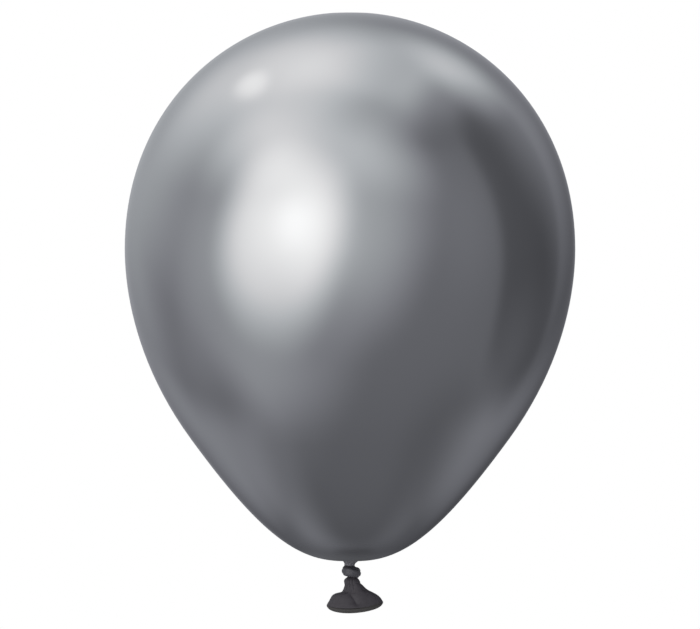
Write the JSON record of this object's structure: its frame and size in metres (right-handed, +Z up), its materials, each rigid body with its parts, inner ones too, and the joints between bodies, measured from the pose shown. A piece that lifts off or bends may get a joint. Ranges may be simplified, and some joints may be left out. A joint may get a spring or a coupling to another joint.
{
  "type": "mirror-finish latex party balloon",
  "caption": "Inflated latex party balloon with a dark mirror finish: hollow teardrop envelope, gathered neck, tied knot, and a flared tail with a rolled lip.",
  "frame": {"origin": "the middle of the neck's waist, between the envelope and the knot, where a ribbon, clip or cup holds the balloon", "axes": "+Z up along the balloon's axis, -Y towards the front that the picture shows, +X to that view's right"},
  "size_m": [0.28, 0.28, 0.372],
  "materials": {
    "mirror_film": "gloss",
    "neck_film": "satin",
    "knot_film": "satin",
    "tail_film": "satin",
    "lip_film": "satin"
  },
  "bodies": {
    "envelope": {"envelope": "mirror_film", "neck_gather": "neck_film"},
    "knot": {"knot_core": "knot_film", "knot_loop": "knot_film"},
    "tail": {"tail_throat": "tail_film", "tail_flare": "tail_film", "lip_bead": "lip_film"}
  },
  "joints": [
    {"name": "neck_sway", "type": "hinge", "parent": "envelope", "child": "knot", "pos_m": [0, 0, 0], "axis": [0, 1, 0], "range_deg": [-35, 35], "stiffness_Nm_per_rad": 0.004, "deforming": ["neck_gather"]},
    {"name": "tail_bend", "type": "hinge", "parent": "knot", "child": "tail", "pos_m": [0.00124, 0, -0.00845], "axis": [1, 0, 0], "range_deg": [-40, 40], "stiffness_Nm_per_rad": 0.003, "deforming": ["tail_throat"]}
  ]
}
